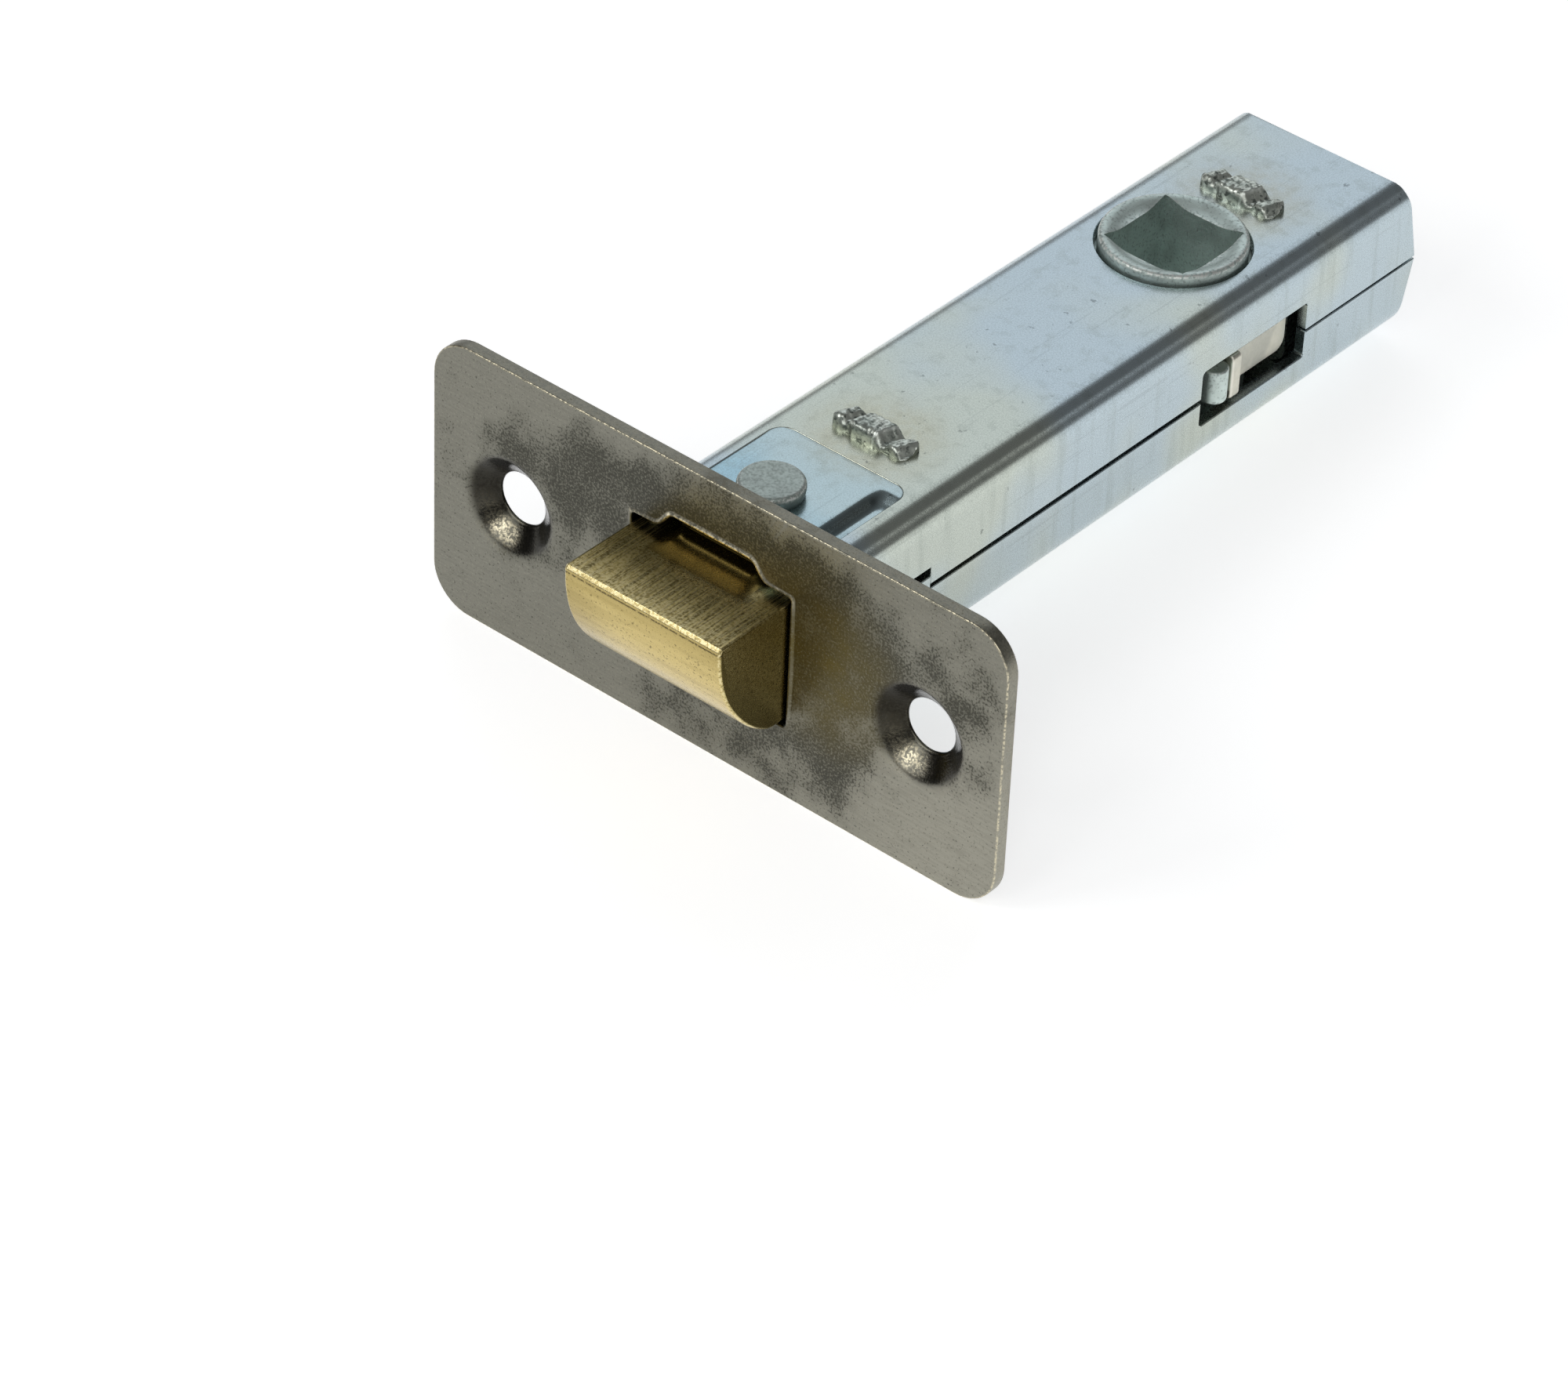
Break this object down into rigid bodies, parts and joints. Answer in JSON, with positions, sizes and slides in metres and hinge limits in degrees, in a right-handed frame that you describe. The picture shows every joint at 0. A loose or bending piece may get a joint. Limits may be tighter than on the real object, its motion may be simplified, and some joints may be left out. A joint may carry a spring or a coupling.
{
  "type": "tubular door latch",
  "caption": "Tubular mortice latch: a sprung bevelled bolt behind an oblong face plate, drawn back into a slim folded case by a square spindle hub.",
  "frame": {"origin": "centre of the face plate's front face, on the axis of the bolt", "axes": "+X along the face plate, +Y into the door's edge along the case, +Z along the spindle's axis"},
  "size_m": [0.057, 0.0851, 0.0254],
  "materials": {
    "pewter_plate": "aged nickel, satin",
    "zinc_plate": "zinc plated, satin",
    "blue_zinc": "blue zinc plated",
    "brass": "brushed",
    "staked_steel": "zinc plated, staked",
    "zinc_casting": "matt zinc die casting",
    "spring_steel": "oiled",
    "yellow_steel": "yellow passivated zinc"
  },
  "bodies": {
    "case": {"face_plate": "pewter_plate", "case_cover": "zinc_plate", "case_tray": "zinc_plate", "tongue_top": "blue_zinc", "tongue_bottom": "blue_zinc", "strap_top": "spring_steel", "strap_bottom": "spring_steel", "rivet_top": "zinc_casting", "rivet_bottom": "zinc_casting", "front_bridge": "staked_steel", "rear_bridge": "staked_steel", "spring_cage": "zinc_plate", "spring_guide": "zinc_plate", "bolt_spring": "spring_steel"},
    "bolt": {"latch_bolt": "brass", "tail_washer": "staked_steel", "yoke": "yellow_steel"},
    "hub": {"follower": "zinc_casting"}
  },
  "joints": [
    {"name": "bolt_slide", "type": "slide", "parent": "case", "child": "bolt", "axis": [0, 1, 0], "range_m": [0, 0.0073], "stiffness_N_per_m": 400, "springref_m": -0.01, "deforming": ["bolt_spring"]},
    {"name": "follower_turn", "type": "hinge", "parent": "case", "child": "hub", "pos_m": [0, 0.0558, 0], "axis": [0, 0, 1], "range_deg": [0, 47.6]}
  ],
  "couplings": [
    {"joint": "follower_turn", "follows": "bolt_slide", "rad_per_m": 113.56}
  ]
}
